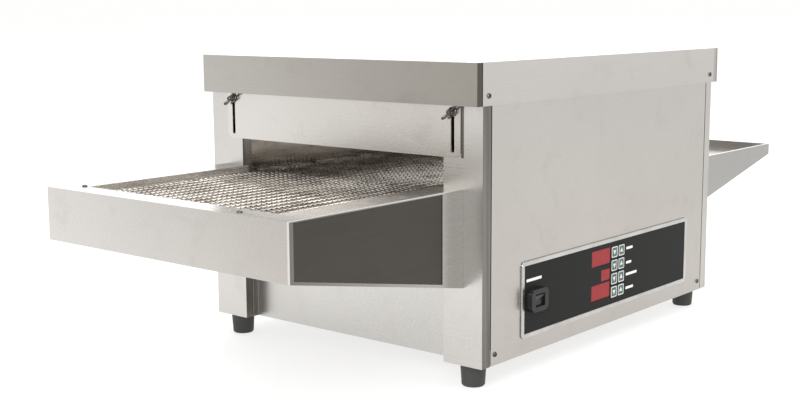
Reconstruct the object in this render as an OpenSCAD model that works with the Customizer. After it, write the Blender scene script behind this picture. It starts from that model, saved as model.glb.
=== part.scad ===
// Countertop conveyor pizza oven: a sheet-steel body with a wire belt running through it.
// The conveyor runs along +X, the controls face -Y, and the feet stand on z = 0.
// The origin is on the worktop, under the centre of the whole machine.

/* [Body] */
// Overall height, feet included
total_h = 435; // [434:1:440]
// Length of the body along the conveyor
body_l = 640; // [630:1:660]
// Depth of the body from front to rear
body_d = 514; // [512:1:520]
// Height of the feet
foot_h = 31; // [28:1:34]
// Thickness of the sheet steel
sheet = 1.2; // [1:0.1:1.4]

/* [Lid] */
// Height of the lid's skirt
skirt_h = 56; // [54:1:58]
// How far the lid stands out past each end of the body
lid_end = 15.5; // [15:0.5:18]
// How far the lid stands out past the front and the rear
lid_side = 2; // [2:0.5:3]
// Width of the end skirt's return on the front and the rear
lid_return = 12; // [8:1:14]

/* [End openings] */
// Width of the tunnel mouth between the two columns
mouth_w = 386; // [380:1:390]
// Height of the tunnel mouth's upper edge
mouth_top = 362; // [361:1:364]
// How far the lower end panel is set back
recess = 24; // [22:1:30]
// Width of the returns folded from the end panels
return_w = 18; // [14:1:18]

/* [Baffles] */
// Width of a baffle plate
baffle_w = 444; // [440:1:446]
// Height of a baffle's lower edge when it is right down
baffle_low = 310; // [308:1:312]
// How far a baffle can be raised
baffle_travel = 51; // [40:1:51]
// Distance between the two clamping studs
stud_pitch = 418; // [416:1:420]
// Diameter of a clamping stud
stud_d = 5; // [4:0.5:5]

/* [Trays] */
// Reach of the infeed tray
infeed_l = 325; // [315:1:335]
// Reach of the outfeed tray
outfeed_l = 311; // [300:1:320]
// Width of both trays
tray_w = 452; // [450:1:456]
// Height of the infeed tray's rim
rim_z = 270; // [269:1:272]
// Height of the outfeed tray's upper edge
outfeed_z = 247; // [245:1:249]

/* [Conveyor] */
// Width of the belt
belt_w = 356; // [350:1:358]
// Height of the belt's upper face
belt_top = 260.5; // [260:0.5:261]
// Thickness of the belt
belt_t = 3; // [2.5:0.5:3]
// Radius of the belt's inner face where it turns round a shaft
wrap_r = 24; // [23:0.5:24]
// Teeth on the sprocket that the motor turns
motor_teeth = 16; // [14:1:18]
// Teeth on the sprocket that the belt shaft carries
shaft_teeth = 16; // [14:1:18]

/* [Controls] */
// Width of the black control panel
fascia_w = 463; // [455:1:465]
// Height of the black control panel
fascia_h = 95; // [94:1:97]
// Height of the control panel's centre above the worktop
fascia_z = 107.5; // [107:0.5:109]
// Side of a square key
key_w = 17; // [16:0.5:17]
// Distance between keys
key_pitch = 20.4; // [20:0.1:20.6]

/* [Hidden] */
$fn = 64;
e = 0.01;
// ends of the body and of the whole machine along the conveyor
half_l = (infeed_l + body_l + outfeed_l) / 2;
xa = infeed_l - half_l;
xb = half_l - outfeed_l;
xm = (xa + xb) / 2;
yf = body_d / 2;
ym = mouth_w / 2;
top_in = total_h - sheet;
skirt_z = total_h - skirt_h;
lid_x = body_l / 2 + lid_end;
lid_y = yf + lid_side;
foot_x = [xm - 297, xm + 300];
// front panel
panel_x = 300;
panel_screw_x = 291;
panel_screw_z = 46;
lid_screw_x = 310;
lid_screw_z = 392;
screw_d = 4;
screw_hole_d = 4.4;
// baking chamber
chamber_x = body_l / 2 - return_w;
floor_z = 185;
roof_z = 395;
element_d = 10;
upper_z = 378;
lower_z = 241;
upper_x = [for (i = [-2 : 2]) xm + 100 * i];
lower_x = [for (i = [-1.5 : 1.5]) xm + 110 * i];
element_half = 211;
probe_x = xm - 50;
probe_z = 350;
// baffles
stud_z = 370;
slot_w = stud_d + 0.8;
plate_gap = 0.4;
// trays
infeed_end_h = 72;
infeed_root_z = 137;
outfeed_tip_z = 228;
outfeed_root_z = 161;
rim_side = 45;
rim_end = 34;
side_return = 10;
side_top = 2.6;
root_flange = 44;
rim_screws = [[-606, 187], [-625, -136]];
rim_lip = 16;
tray_screw_y = 208;
infeed_screw_z = [185, 245];
outfeed_screw_z = [180, 220];
// belt
belt_mid_z = belt_top - belt_t - wrap_r;
nose_x = -half_l + 36;
drive_x = xb - 35;
rail_d = 6;
rail_z = belt_mid_z + wrap_r - 0.3 - rail_d / 2;
bar_z = rail_z - 5;
tray_bar_x = [-480, -340];
chamber_bar_x = [for (d = [-240, -110, 0, 110, 240]) xm + d];
shaft_d = 12;
nose_d = 10;
fit_gap = 0.05;
// chain drive
motor_x = 200;
motor_z = 98;
chain_y = 226;
chain_w = 8;
chain_t = 5;
tooth_pitch = 9.525;
sprocket_gap = 0.6;
motor_r = tooth_pitch * motor_teeth / PI / 2;
shaft_r = tooth_pitch * shaft_teeth / PI / 2;
// controls
fascia_x = 13.5;
fascia_t = 1.6;
frame_w = 6.5;
key_x = 19.5;
key_z = 139;
key_out = 1.2;
key_travel = 0.8;
tact_h = 3;
switch_x = -194.5;
switch_z = 106;
switch_w = 41;
switch_h = 32;
switch_out = 11;
rocker_w = 22;
rocker_h = 17;
rocker_pin_d = 3;
rocker_y = -yf - fascia_t - 6;
rocker_rest = 12;
board_y = -yf + 12;
display_boxes = [
    // centre x, centre z, width, height
    [-17, 136, 52, 23.5],
    [-3.5, 107.5, 25, 17],
    [-17, 84.5, 52, 23]
];
// cooling fan
fan_x = -160;
fan_z = 102;
fan_size = 92;
fan_pin_d = 6;
// supply cable's gland, as far out at the rear as the switch is at the front
gland_x = 270;
gland_z = 70;
gland_out = fascia_t + switch_out;

// ---------- shared shapes ----------

// a box between two corners
module slab(x, y, z) {
    translate([x[0], y[0], z[0]]) cube([x[1] - x[0], y[1] - y[0], z[1] - z[0]]);
}

// a cylinder along Y, centred on y = 0
module y_rod(d, l) {
    rotate([90, 0, 0]) cylinder(d = d, h = l, center = true);
}

// a cylinder along X that starts at x = 0
module x_rod(d, l) {
    rotate([0, 90, 0]) cylinder(d = d, h = l);
}

// the same thing at the front and at the rear
module both_sides() {
    children();
    mirror([0, 1, 0]) children();
}

// the same thing at the other end of the body
module other_end() {
    translate([2 * xm, 0, 0]) mirror([1, 0, 0]) children();
}

// the same thing at both ends of the body
module both_ends() {
    children();
    other_end() children();
}

// an outline drawn in X and Z, made into a plate whose front face is at y
module xz_plate(y, t) {
    translate([0, y + t, 0]) rotate([90, 0, 0]) linear_extrude(t) children();
}

// a rectangle with round corners, centred
module round_rect(w, h, r) {
    square([w - 2 * r, h], center = true);
    square([w, h - 2 * r], center = true);
    for (i = [-1, 1], j = [-1, 1]) translate([i * (w / 2 - r), j * (h / 2 - r)]) circle(r);
}

// a toothed wheel along Y
module toothed_wheel(r, teeth, depth, w, bore) {
    difference() {
        rotate([90, 0, 0]) linear_extrude(w, center = true)
            polygon([for (i = [0 : 2 * teeth - 1])
                let (q = i % 2 == 0 ? r : r - depth, a = 180 * i / teeth)
                [q * cos(a), q * sin(a)]]);
        y_rod(bore, w + 2);
    }
}

// a pan-head screw along X with its head's seat at x = 0 and its point at +X
module screw(l) {
    d = screw_d;
    intersection() {
        translate([-d * 0.55, 0, 0]) x_rod(d * 1.9, d * 0.55);
        translate([d * 1.05, 0, 0]) sphere(d * 1.62);
    }
    translate([-d * 0.2, 0, 0]) x_rod(d, l + d * 0.2);
}

// ---------- casing ----------

module base_pan() {
    color("silver") {
        difference() {
            slab([xa + sheet, xb - sheet], [-yf + sheet, yf - sheet], [foot_h + sheet, foot_h + 2 * sheet]);
            both_ends() pan_notch();
            for (x = [-80 : 20 : 120], y = [-150, 90])
                slab([x, x + 6], [y, y + 60], [foot_h, foot_h + 3 * sheet]);
        }
        both_sides() difference() {
            slab([xa + return_w, xb - return_w], [-yf + sheet, -yf + 2 * sheet],
                 [foot_h + sheet, foot_h + 22]);
            panel_screw_holes();
        }
    }
}

// the floor is cut back where the lower end panels are set in
module pan_notch() {
    slab([xa - 1, xa + recess + sheet], [-ym - 2 * sheet, ym + 2 * sheet], [foot_h, foot_h + 3 * sheet]);
}

// a long wall between the end panels, with its edges folded in
module long_wall() {
    slab([xm - panel_x, xm + panel_x], [-yf, -yf + sheet], [foot_h, top_in]);
    for (x = [xm - panel_x, xm + panel_x - sheet])
        slab([x, x + sheet], [-yf, -yf + 12], [foot_h + 24, top_in]);
    slab([xm - panel_x, xm + panel_x], [-yf, -yf + 16], [top_in - sheet, top_in]);
}

module front_panel() {
    color("silver") difference() {
        long_wall();
        translate([fascia_x, -yf, fascia_z]) cube([fascia_w - 16, 4 * sheet, fascia_h - 8], center = true);
        panel_screw_holes();
    }
}

module rear_panel() {
    color("silver") difference() {
        mirror([0, 1, 0]) long_wall();
        mirror([0, 1, 0]) panel_screw_holes();
        translate([fan_x, yf, fan_z]) y_rod(fan_size - 8, 10);
        translate([gland_x, yf, gland_z]) y_rod(20, 10);
        for (i = [0 : 9], z = [70, 150])
            slab([40 + 20 * i, 46 + 20 * i], [yf - 2, yf + 1], [z, z + 55]);
    }
}

module panel_screw_holes() {
    for (s = [-1, 1])
        translate([xm + s * panel_screw_x, -yf, panel_screw_z]) y_rod(screw_hole_d, 10);
}

// one end: a portal of two columns, with returns on its outer and inner edges
module end_panel(screw_z) {
    difference() {
        slab([xa, xa + sheet], [-yf, yf], [foot_h, top_in]);
        slab([xa - 1, xa + 2 * sheet], [-ym, ym], [foot_h - 1, mouth_top]);
        both_sides() {
            // the slot that the stud is dropped into, behind the baffle's own slot
            slab([xa - 1, xa + 3], [-stud_pitch / 2 - stud_d / 2, -stud_pitch / 2 + stud_d / 2],
                 [stud_z - baffle_travel, stud_z]);
            for (z = [stud_z - baffle_travel, stud_z])
                translate([xa - 1, -stud_pitch / 2, z]) x_rod(stud_d, 4);
            for (z = screw_z) translate([xa - 1, -tray_screw_y, z]) x_rod(screw_d, 4);
        }
    }
    both_sides() {
        difference() {
            slab([xa, xa + return_w], [-yf, -yf + sheet], [foot_h, top_in]);
            translate([xm - lid_screw_x, -yf, lid_screw_z]) y_rod(screw_hole_d, 10);
        }
        slab([xa + return_w - sheet, xa + return_w], [-yf, -yf + 10], [foot_h + 24, top_in]);
        slab([xa, xa + return_w], [-ym - sheet, -ym], [foot_h, mouth_top + sheet]);
    }
    slab([xa, xa + return_w], [-ym, ym], [mouth_top, mouth_top + sheet]);
}

module infeed_end_panel() {
    color("gainsboro") end_panel(infeed_screw_z);
}

module outfeed_end_panel() {
    color("gainsboro") other_end() end_panel(outfeed_screw_z);
}

// the lower end panel, set back between the columns, with side flanges on their returns
module lower_panel() {
    top_z = floor_z - sheet;
    slab([xa + recess, xa + recess + sheet], [-ym, ym], [foot_h, top_z]);
    both_sides() slab([xa + 14, xa + recess + sheet], [-ym, -ym + sheet], [foot_h, top_z]);
    slab([xa + recess, xa + recess + 14], [-ym, ym], [top_z - sheet, top_z]);
}

module infeed_lower_panel() {
    color("silver") lower_panel();
}

module outfeed_lower_panel() {
    color("silver") other_end() lower_panel();
}

module lid() {
    color("whitesmoke") difference() {
        union() {
            slab([xm - lid_x, xm + lid_x], [-lid_y, lid_y], [top_in, total_h]);
            both_ends() lid_end_skirt();
            both_sides()
                slab([xm - lid_x + lid_return + 0.4, xm + lid_x - lid_return - 0.4],
                     [-lid_y, -lid_y + sheet], [skirt_z, total_h]);
        }
        both_sides() for (s = [-1, 1])
            translate([xm + s * lid_screw_x, -lid_y, lid_screw_z]) y_rod(screw_hole_d, 10);
    }
}

module lid_end_skirt() {
    slab([xm - lid_x, xm - lid_x + sheet], [-lid_y, lid_y], [skirt_z, total_h]);
    both_sides()
        slab([xm - lid_x, xm - lid_x + lid_return], [-lid_y + 0.6, -lid_y + 0.6 + sheet], [skirt_z, total_h]);
}

module case_screws() {
    color("gray") {
        both_sides() for (s = [-1, 1]) {
            translate([xm + s * lid_screw_x, -lid_y, lid_screw_z]) rotate([0, 0, 90]) screw(10);
            translate([xm + s * panel_screw_x, -yf, panel_screw_z]) rotate([0, 0, 90]) screw(10);
        }
        for (p = rim_screws) translate([p[0], p[1], rim_z]) rotate([0, 90, 0]) screw(6);
        both_sides() {
            for (z = infeed_screw_z)
                translate([xa - sheet, -tray_screw_y, z]) screw(8);
            for (z = outfeed_screw_z)
                translate([xb + sheet, -tray_screw_y, z]) mirror([1, 0, 0]) screw(8);
        }
    }
}

module feet() {
    color("dimgray") for (x = foot_x, j = [-1, 1])
        translate([x, j * 226, 0]) {
            cylinder(r1 = 14.5, r2 = 16, h = 2);
            translate([0, 0, 2]) cylinder(r1 = 16, r2 = 18, h = foot_h + sheet - 2);
        }
}

// ---------- baffles ----------

module baffle() {
    r = 10;
    color("gainsboro") difference() {
        translate([xa - plate_gap - sheet, 0, 0]) rotate([90, 0, 90]) linear_extrude(sheet) {
            translate([-baffle_w / 2, baffle_low + r])
                square([baffle_w, top_in - baffle_travel - 2 - baffle_low - r]);
            translate([-baffle_w / 2 + r, baffle_low]) square([baffle_w - 2 * r, r + 1]);
            for (s = [-1, 1]) translate([s * (baffle_w / 2 - r), baffle_low + r]) circle(r);
        }
        both_sides() translate([xa - 3, -stud_pitch / 2, 0]) {
            slab([0, 4], [-slot_w / 2, slot_w / 2], [stud_z - baffle_travel, stud_z]);
            for (z = [stud_z - baffle_travel, stud_z]) translate([0, 0, z]) x_rod(slot_w, 4);
        }
    }
}

module infeed_baffle() {
    baffle();
}

module outfeed_baffle() {
    other_end() baffle();
}

module stud() {
    translate([xa - 13, 0, 0]) x_rod(stud_d, 18);
    translate([xa + sheet, 0, 0]) x_rod(10, 3.5);
}

module baffle_studs() {
    color("gray") both_ends() both_sides() translate([0, -stud_pitch / 2, stud_z]) stud();
}

// a wing nut on the stud, with a flange and two upswept wings
module wing_nut() {
    x0 = xa - plate_gap - sheet - 0.3;
    color("dimgray") difference() {
        union() {
            translate([x0 - 1.5, 0, 0]) x_rod(13, 1.5);
            translate([x0 - 8, 0, 0]) x_rod(9, 7);
            rotate([-40, 0, 0]) both_sides() translate([x0, 0, -1.2]) {
                slab([-8, -3], [-11, -2], [0, 2.4]);
                translate([-6.4, -11.5, 0]) cylinder(d = 8.6, h = 2.4);
            }
        }
        translate([xa - 20, 0, 0]) x_rod(stud_d + 2 * fit_gap, 25);
    }
}

module infeed_front_wing_nut() {
    translate([0, -stud_pitch / 2, stud_z]) wing_nut();
}

module infeed_rear_wing_nut() {
    translate([0, stud_pitch / 2, stud_z]) wing_nut();
}

module outfeed_front_wing_nut() {
    other_end() infeed_front_wing_nut();
}

module outfeed_rear_wing_nut() {
    other_end() infeed_rear_wing_nut();
}

// ---------- trays ----------

// height of the infeed tray's sloping lower edge
function tray_edge(x) =
    infeed_root_z + (xa - x) * (rim_z - infeed_end_h - infeed_root_z) / infeed_l;

// side outline of the infeed tray, drawn in by the given margins
module infeed_outline(tip, top, root, low) {
    x0 = -half_l + tip;
    x1 = xa - root;
    polygon([[x0, rim_z - top], [x1, rim_z - top], [x1, tray_edge(x1) + low], [x0, tray_edge(x0) + low]]);
}

module infeed_tray() {
    tip = -half_l;
    color("gainsboro") {
        // rim with the opening that the belt shows through
        difference() {
            slab([tip, xa], [-tray_w / 2, tray_w / 2], [rim_z - sheet, rim_z]);
            slab([tip + rim_end, xa + 1], [-tray_w / 2 + rim_side, tray_w / 2 - rim_side],
                 [rim_z - 2 * sheet, rim_z + 1]);
            for (p = rim_screws) translate([p[0], p[1], rim_z - 5]) cylinder(d = screw_hole_d, h = 10);
        }
        slab([tip, tip + sheet], [-tray_w / 2, tray_w / 2], [rim_z - infeed_end_h, rim_z]);
        // the flanges that frame each side panel
        both_sides() xz_plate(-tray_w / 2, sheet) difference() {
            infeed_outline(0, 0, 0, 0);
            infeed_outline(side_return, side_top, root_flange, 4);
        }
        // lips folded down along the belt's edges
        both_sides() slab([tip + rim_end, xa], [-tray_w / 2 + rim_side - sheet, -tray_w / 2 + rim_side],
                          [rim_z - rim_lip, rim_z - sheet / 2]);
        // sloping underside
        xz_plate(-tray_w / 2, tray_w)
            polygon([[tip, tray_edge(tip)], [xa, tray_edge(xa)],
                     [xa, tray_edge(xa) + sheet], [tip, tray_edge(tip) + sheet]]);
        // flanges that screw to the columns
        both_sides() difference() {
            slab([xa - sheet, xa], [-tray_w / 2, -ym - 2], [infeed_root_z + 6, rim_z]);
            for (z = infeed_screw_z) translate([xa - 5, -tray_screw_y, z]) x_rod(screw_hole_d, 10);
        }
    }
}

module infeed_side_panels() {
    color("darkslategray") both_sides()
        xz_plate(-tray_w / 2 + sheet, sheet) infeed_outline(2, sheet + 0.3, 2 * sheet, 2.5);
}

module outfeed_outline() {
    polygon([[xb, outfeed_z], [half_l, outfeed_z], [half_l, outfeed_tip_z], [xb, outfeed_root_z]]);
}

module outfeed_tray() {
    floor_top = outfeed_tip_z + 3;
    color("silver") {
        both_sides() xz_plate(-tray_w / 2, sheet) outfeed_outline();
        both_sides() slab([xb, half_l], [-tray_w / 2, -tray_w / 2 + 6], [outfeed_z - sheet, outfeed_z]);
        slab([half_l - sheet, half_l], [-tray_w / 2, tray_w / 2], [outfeed_tip_z, outfeed_z]);
        slab([xb, half_l], [-tray_w / 2, tray_w / 2], [floor_top - sheet, floor_top]);
        both_sides() difference() {
            slab([xb, xb + sheet], [-tray_w / 2, -ym - 2], [outfeed_root_z + 4, outfeed_z]);
            for (z = outfeed_screw_z) translate([xb - 5, -tray_screw_y, z]) x_rod(screw_hole_d, 10);
        }
    }
}

module crumb_tray() {
    x0 = xa + 40;
    x1 = xb + 6;
    y = ym - 8;
    z0 = floor_z + 0.3;
    color("darkgray") {
        slab([x0, x1], [-y, y], [z0, z0 + sheet]);
        both_sides() slab([x0, x1], [-y, -y + sheet], [z0, z0 + 14]);
        slab([x0, x0 + sheet], [-y, y], [z0, z0 + 14]);
        slab([x1 - sheet, x1], [-y, y], [z0 - 12, z0 + 17]);
        // pull lip
        slab([x1 - sheet, x1 + 14], [-60, 60], [z0 + 17 - sheet, z0 + 17]);
    }
}

// ---------- baking chamber ----------

module oven_chamber() {
    x0 = xm - chamber_x;
    x1 = xm + chamber_x;
    color("darkgray") difference() {
        union() {
            both_sides() slab([x0, x1], [-ym - sheet, -ym], [floor_z - sheet, roof_z]);
            slab([x0, x1], [-ym - sheet, ym + sheet], [roof_z, roof_z + sheet]);
            for (x = [x0, x1 - sheet])
                slab([x, x + sheet], [-ym, ym], [mouth_top, roof_z]);
        }
        for (x = upper_x) translate([x, 0, upper_z]) y_rod(element_d + 2, body_d);
        for (x = lower_x) translate([x, 0, lower_z]) y_rod(element_d + 2, body_d);
        translate([drive_x, 0, belt_mid_z]) y_rod(shaft_d + 2, body_d);
        translate([probe_x, 0, probe_z]) y_rod(7, body_d);
    }
}

module chamber_floor() {
    color("darkgray")
        slab([xa + recess, xb - recess], [-ym, ym], [floor_z - sheet, floor_z]);
}

module insulation() {
    color("wheat") {
        slab([xa + 50, xb - 50], [-ym + 4, ym - 4], [roof_z + sheet, top_in - 3]);
        slab([xa + 50, xb - 50], [-ym + 4, ym - 4], [floor_z - sheet - 30, floor_z - sheet]);
    }
}

module upper_elements() {
    color("lightgray") for (x = upper_x) translate([x, 0, upper_z]) y_rod(element_d, 2 * element_half);
}

module lower_elements() {
    color("lightgray") for (x = lower_x) translate([x, 0, lower_z]) y_rod(element_d, 2 * element_half);
}

// ceramic blocks outside the chamber walls, which carry the tubes' ends
module element_holders() {
    color("white") both_sides() {
        for (x = upper_x) translate([x, -ym - sheet, upper_z]) holder();
        for (x = lower_x) translate([x, -ym - sheet, lower_z]) holder();
    }
}

module holder() {
    difference() {
        slab([-9, 9], [-14, 0], [-9, 9]);
        y_rod(element_d + 0.2, 40);
    }
}

module reflectors() {
    color("lightsteelblue") {
        both_ends() slab([xa + 50, xa + 51], [-ym, ym], [roof_z - 16, roof_z - 5]);
        slab([xa + 50, xb - 50], [-ym, ym], [roof_z - 6, roof_z - 5]);
        both_ends() slab([xa + 80, xa + 81], [-ym, ym], [lower_z - 18, lower_z - 8]);
        slab([xa + 80, xb - 80], [-ym, ym], [lower_z - 18, lower_z - 17]);
    }
}

// ---------- conveyor ----------

// rods along the belt that hold up its upper run, on cross bars
module belt_rails() {
    color("gray") {
        for (i = [-2 : 2])
            translate([nose_x + 34, 66 * i, rail_z]) x_rod(rail_d, drive_x - nose_x - 68);
        for (x = tray_bar_x) translate([x, 0, bar_z]) y_rod(rail_d, tray_w - 4 * sheet);
        for (x = chamber_bar_x) translate([x, 0, bar_z]) y_rod(rail_d, mouth_w);
    }
}

module belt_outline(r) {
    translate([nose_x, belt_mid_z]) circle(r);
    translate([drive_x, belt_mid_z]) circle(r);
    translate([nose_x, belt_mid_z - r]) square([drive_x - nose_x, 2 * r]);
}

module conveyor_belt() {
    color("slategray") xz_plate(-belt_w / 2, belt_w) difference() {
        belt_outline(wrap_r + belt_t);
        belt_outline(wrap_r);
    }
}

module drive_shaft() {
    y0 = -ym - 20;
    y1 = chain_y + 8;
    color("silver") translate([drive_x, (y0 + y1) / 2, belt_mid_z]) y_rod(shaft_d, y1 - y0);
}

module drive_sprockets() {
    color("gray") for (i = [-2 : 2])
        translate([drive_x, 80 * i, belt_mid_z]) toothed_wheel(wrap_r - 0.3, 12, 3, 8, shaft_d);
}

module nose_shaft() {
    color("silver") translate([nose_x, 0, belt_mid_z]) y_rod(nose_d, tray_w - 16);
}

module nose_rollers() {
    color("gray") for (i = [-2 : 2]) translate([nose_x, 80 * i, belt_mid_z]) difference() {
        y_rod(2 * (wrap_r - 0.3), 24);
        y_rod(nose_d, 30);
    }
}

// flanged bushes for the belt's two shafts
module shaft_bearings() {
    color("goldenrod") both_sides() {
        translate([drive_x, -ym - sheet, belt_mid_z]) bush(30, shaft_d);
        translate([nose_x, -tray_w / 2 + 2 * sheet + 10, belt_mid_z]) bush(24, nose_d);
    }
}

module bush(d, bore) {
    difference() {
        union() {
            translate([0, -1.5, 0]) y_rod(d, 3);
            translate([0, -5, 0]) y_rod(d - 8, 10);
        }
        y_rod(bore + 2 * fit_gap, 40);
    }
}

// ---------- drive ----------

module gear_motor() {
    color("darkslategray") {
        difference() {
            slab([motor_x - 36, motor_x + 36], [168, 208], [motor_z - 36, motor_z + 36]);
            translate([motor_x, 200, motor_z]) y_rod(10 + 2 * fit_gap, 60);
        }
        translate([motor_x, 128, motor_z]) y_rod(64, 80.1);
        translate([motor_x, 84, motor_z]) y_rod(40, 8.1);
    }
}

module motor_bracket() {
    color("silver") difference() {
        union() {
            slab([motor_x - 45, motor_x + 45], [208, 211], [foot_h + 2 * sheet, motor_z + 40]);
            slab([motor_x - 45, motor_x + 45], [160, 211], [foot_h + 2 * sheet, foot_h + 2 * sheet + 3]);
        }
        translate([motor_x, 210, motor_z]) y_rod(24, 20);
    }
}

module motor_shaft() {
    color("silver") translate([motor_x, 206, motor_z]) y_rod(10, 52);
}

module motor_sprocket() {
    color("gray") translate([motor_x, chain_y, motor_z])
        toothed_wheel(motor_r, motor_teeth, 3, chain_w - 2, 10);
}

module shaft_sprocket() {
    color("gray") translate([drive_x, chain_y, belt_mid_z])
        toothed_wheel(shaft_r, shaft_teeth, 3, chain_w - 2, shaft_d);
}

// the chain is one closed band that clears the teeth
module chain_outline(grow) {
    dx = drive_x - motor_x;
    dz = belt_mid_z - motor_z;
    span = sqrt(dx * dx + dz * dz);
    r1 = motor_r + sprocket_gap + grow;
    r2 = shaft_r + sprocket_gap + grow;
    tilt = asin((r1 - r2) / span);
    top = [[r1 * sin(tilt), r1 * cos(tilt)], [span + r2 * sin(tilt), r2 * cos(tilt)]];
    translate([motor_x, motor_z]) rotate(atan2(dz, dx)) {
        circle(r1);
        translate([span, 0]) circle(r2);
        polygon([top[0], top[1], [top[1][0], -top[1][1]], [top[0][0], -top[0][1]]]);
    }
}

module drive_chain() {
    color("dimgray") xz_plate(chain_y - chain_w / 2, chain_w) difference() {
        chain_outline(chain_t);
        chain_outline(0);
    }
}

// ---------- controls ----------

module control_fascia() {
    color("black") xz_plate(-yf - fascia_t, fascia_t) difference() {
        translate([fascia_x, fascia_z]) square([fascia_w, fascia_h], center = true);
        for (d = display_boxes) translate([d[0], d[1]]) square([d[2] + 0.6, d[3] + 0.6], center = true);
        for (c = [0, 1], r = [0 : 3]) translate(key_place(c, r)) square(key_w + 0.8, center = true);
        translate([switch_x, switch_z]) square([switch_w - 11, switch_h - 7], center = true);
    }
}

module fascia_frame() {
    color("lightgray") xz_plate(-yf - 2.4, 2.4) translate([fascia_x, fascia_z]) difference() {
        round_rect(fascia_w + 2 * frame_w, fascia_h + 2 * frame_w, 7);
        square([fascia_w, fascia_h], center = true);
    }
}

module displays() {
    y0 = -yf - fascia_t + 0.3;
    color("crimson") for (d = display_boxes)
        slab([d[0] - d[2] / 2, d[0] + d[2] / 2], [y0, board_y], [d[1] - d[3] / 2, d[1] + d[3] / 2]);
}

function key_place(column, row) = [key_x + column * key_pitch, key_z - row * key_pitch];

module key(column, row) {
    p = key_place(column, row);
    back_y = -yf - fascia_t + 2.4;
    stem_y = board_y - tact_h - key_travel - 0.1;
    color("darkgray") {
        xz_plate(-yf - fascia_t - key_out, key_out + 2.4) translate(p) round_rect(key_w, key_w, 2);
        translate([p[0], (back_y + stem_y) / 2, p[1]]) y_rod(6, stem_y - back_y + e);
    }
}

module key_1_down() { key(0, 0); }
module key_1_up() { key(1, 0); }
module key_2_down() { key(0, 1); }
module key_2_up() { key(1, 1); }
module key_3_down() { key(0, 2); }
module key_3_up() { key(1, 2); }
module key_4_down() { key(0, 3); }
module key_4_up() { key(1, 3); }

// the switch's body, with a deep collar that guards the rocker
module switch_housing() {
    y0 = -yf - fascia_t;
    back_w = switch_w - 12;
    back_h = switch_h - 8;
    color("black") {
        difference() {
            union() {
                xz_plate(y0 - switch_out, switch_out) translate([switch_x, switch_z])
                    round_rect(switch_w, switch_h, 9);
                xz_plate(y0 - e, 20) translate([switch_x, switch_z])
                    square([back_w, back_h], center = true);
            }
            xz_plate(y0 - switch_out - 1, switch_out + 18) translate([switch_x, switch_z])
                square([rocker_w + 0.8, rocker_h + 0.8], center = true);
            translate([switch_x - rocker_w / 2 - 2, rocker_y, switch_z])
                x_rod(rocker_pin_d + 2 * fit_gap, rocker_w + 4);
        }
        for (i = [-1, 1]) translate([switch_x + 9 * i, y0 + 25, switch_z]) y_rod(3, 12);
    }
}

// a rocker with a shallow V face and two stub pins along X
module power_rocker() {
    color("dimgray") translate([switch_x, rocker_y, switch_z]) {
        rotate([rocker_rest, 0, 0]) rotate([90, 0, 90]) linear_extrude(rocker_w, center = true)
            polygon([[-3.2, 8], [-1.8, 0], [-3.2, -8], [3, -7], [6, -3], [6, 3], [3, 7]]);
        translate([-rocker_w / 2 - 1.6, 0, 0]) x_rod(rocker_pin_d, rocker_w + 3.2);
    }
}

module control_board() {
    color("darkgreen") {
        slab([-60, 70], [board_y, board_y + 1.6], [64, 151]);
        for (c = [0, 1], r = [0 : 3])
            translate([key_place(c, r)[0], board_y - tact_h, key_place(c, r)[1]])
                slab([-3, 3], [0, tact_h + e], [-3, 3]);
        for (x = [-50, -20]) slab([x, x + 18], [board_y + 1.6 - e, board_y + 12], [72, 100]);
        // spacers that hold the board behind the panel
        for (i = [-1, 1], z = [67, 148])
            translate([5 + 60 * i, (board_y - yf) / 2 + e, z]) y_rod(5, board_y + yf - 2 * e);
    }
}

module power_relays() {
    color("ivory") {
        for (x = [-120, -60]) slab([x, x + 45], [-120, -62], [foot_h + 2 * sheet, foot_h + 2 * sheet + 24]);
        slab([180, 260], [-10, 14], [foot_h + 2 * sheet, foot_h + 2 * sheet + 22]);
    }
}

module thermocouple() {
    color("silver") {
        translate([probe_x, -ym + 22, probe_z]) y_rod(4, 60);
        translate([probe_x, -ym - sheet - 4, probe_z]) y_rod(12, 8);
    }
}

// ---------- cooling and supply ----------

module fan_housing() {
    y1 = yf - sheet;
    color("black") translate([fan_x, 0, fan_z]) {
        xz_plate(y1 - 25, 25) difference() {
            square(fan_size, center = true);
            circle(d = fan_size - 6);
        }
        xz_plate(y1 - 25, 3) {
            circle(d = 34);
            for (a = [45 : 90 : 315]) rotate(a) translate([0, -2.5]) square([fan_size / 2 + 1, 5]);
        }
        translate([0, y1 - 13, 0]) y_rod(fan_pin_d, 18 + 2 * e);
        // wire guard outside the rear panel
        translate([0, yf + 1.4, 0]) for (d = [24, 44, 64, 84]) rotate([90, 0, 0])
            rotate_extrude() translate([d / 2, 0]) circle(d = 2.4);
        for (a = [45 : 90 : 315]) rotate([0, a, 0])
            translate([0, yf + 1.4, 0]) x_rod(2.8, fan_size / 2 + 6);
    }
}

module fan_rotor() {
    y1 = yf - sheet;
    color("dimgray") translate([fan_x, y1 - 12, fan_z]) difference() {
        union() {
            y_rod(32, 18);
            for (a = [0 : 360 / 7 : 359]) rotate([0, a, 0])
                rotate([35, 0, 0]) translate([14, -1, -9]) cube([27, 2, 18]);
        }
        y_rod(fan_pin_d + 2 * fit_gap, 30);
    }
}

module cable_gland() {
    color("black") translate([gland_x, yf, gland_z]) difference() {
        union() {
            translate([0, -5, 0]) y_rod(18, 18);
            translate([0, 3, 0]) y_rod(28, 6);
            translate([0, -4.2, 0]) rotate([90, 0, 0]) cylinder(d = 28, h = 6, center = true, $fn = 6);
            translate([0, gland_out - 5, 0]) y_rod(22, 10);
        }
        y_rod(10, 60);
    }
}

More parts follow.
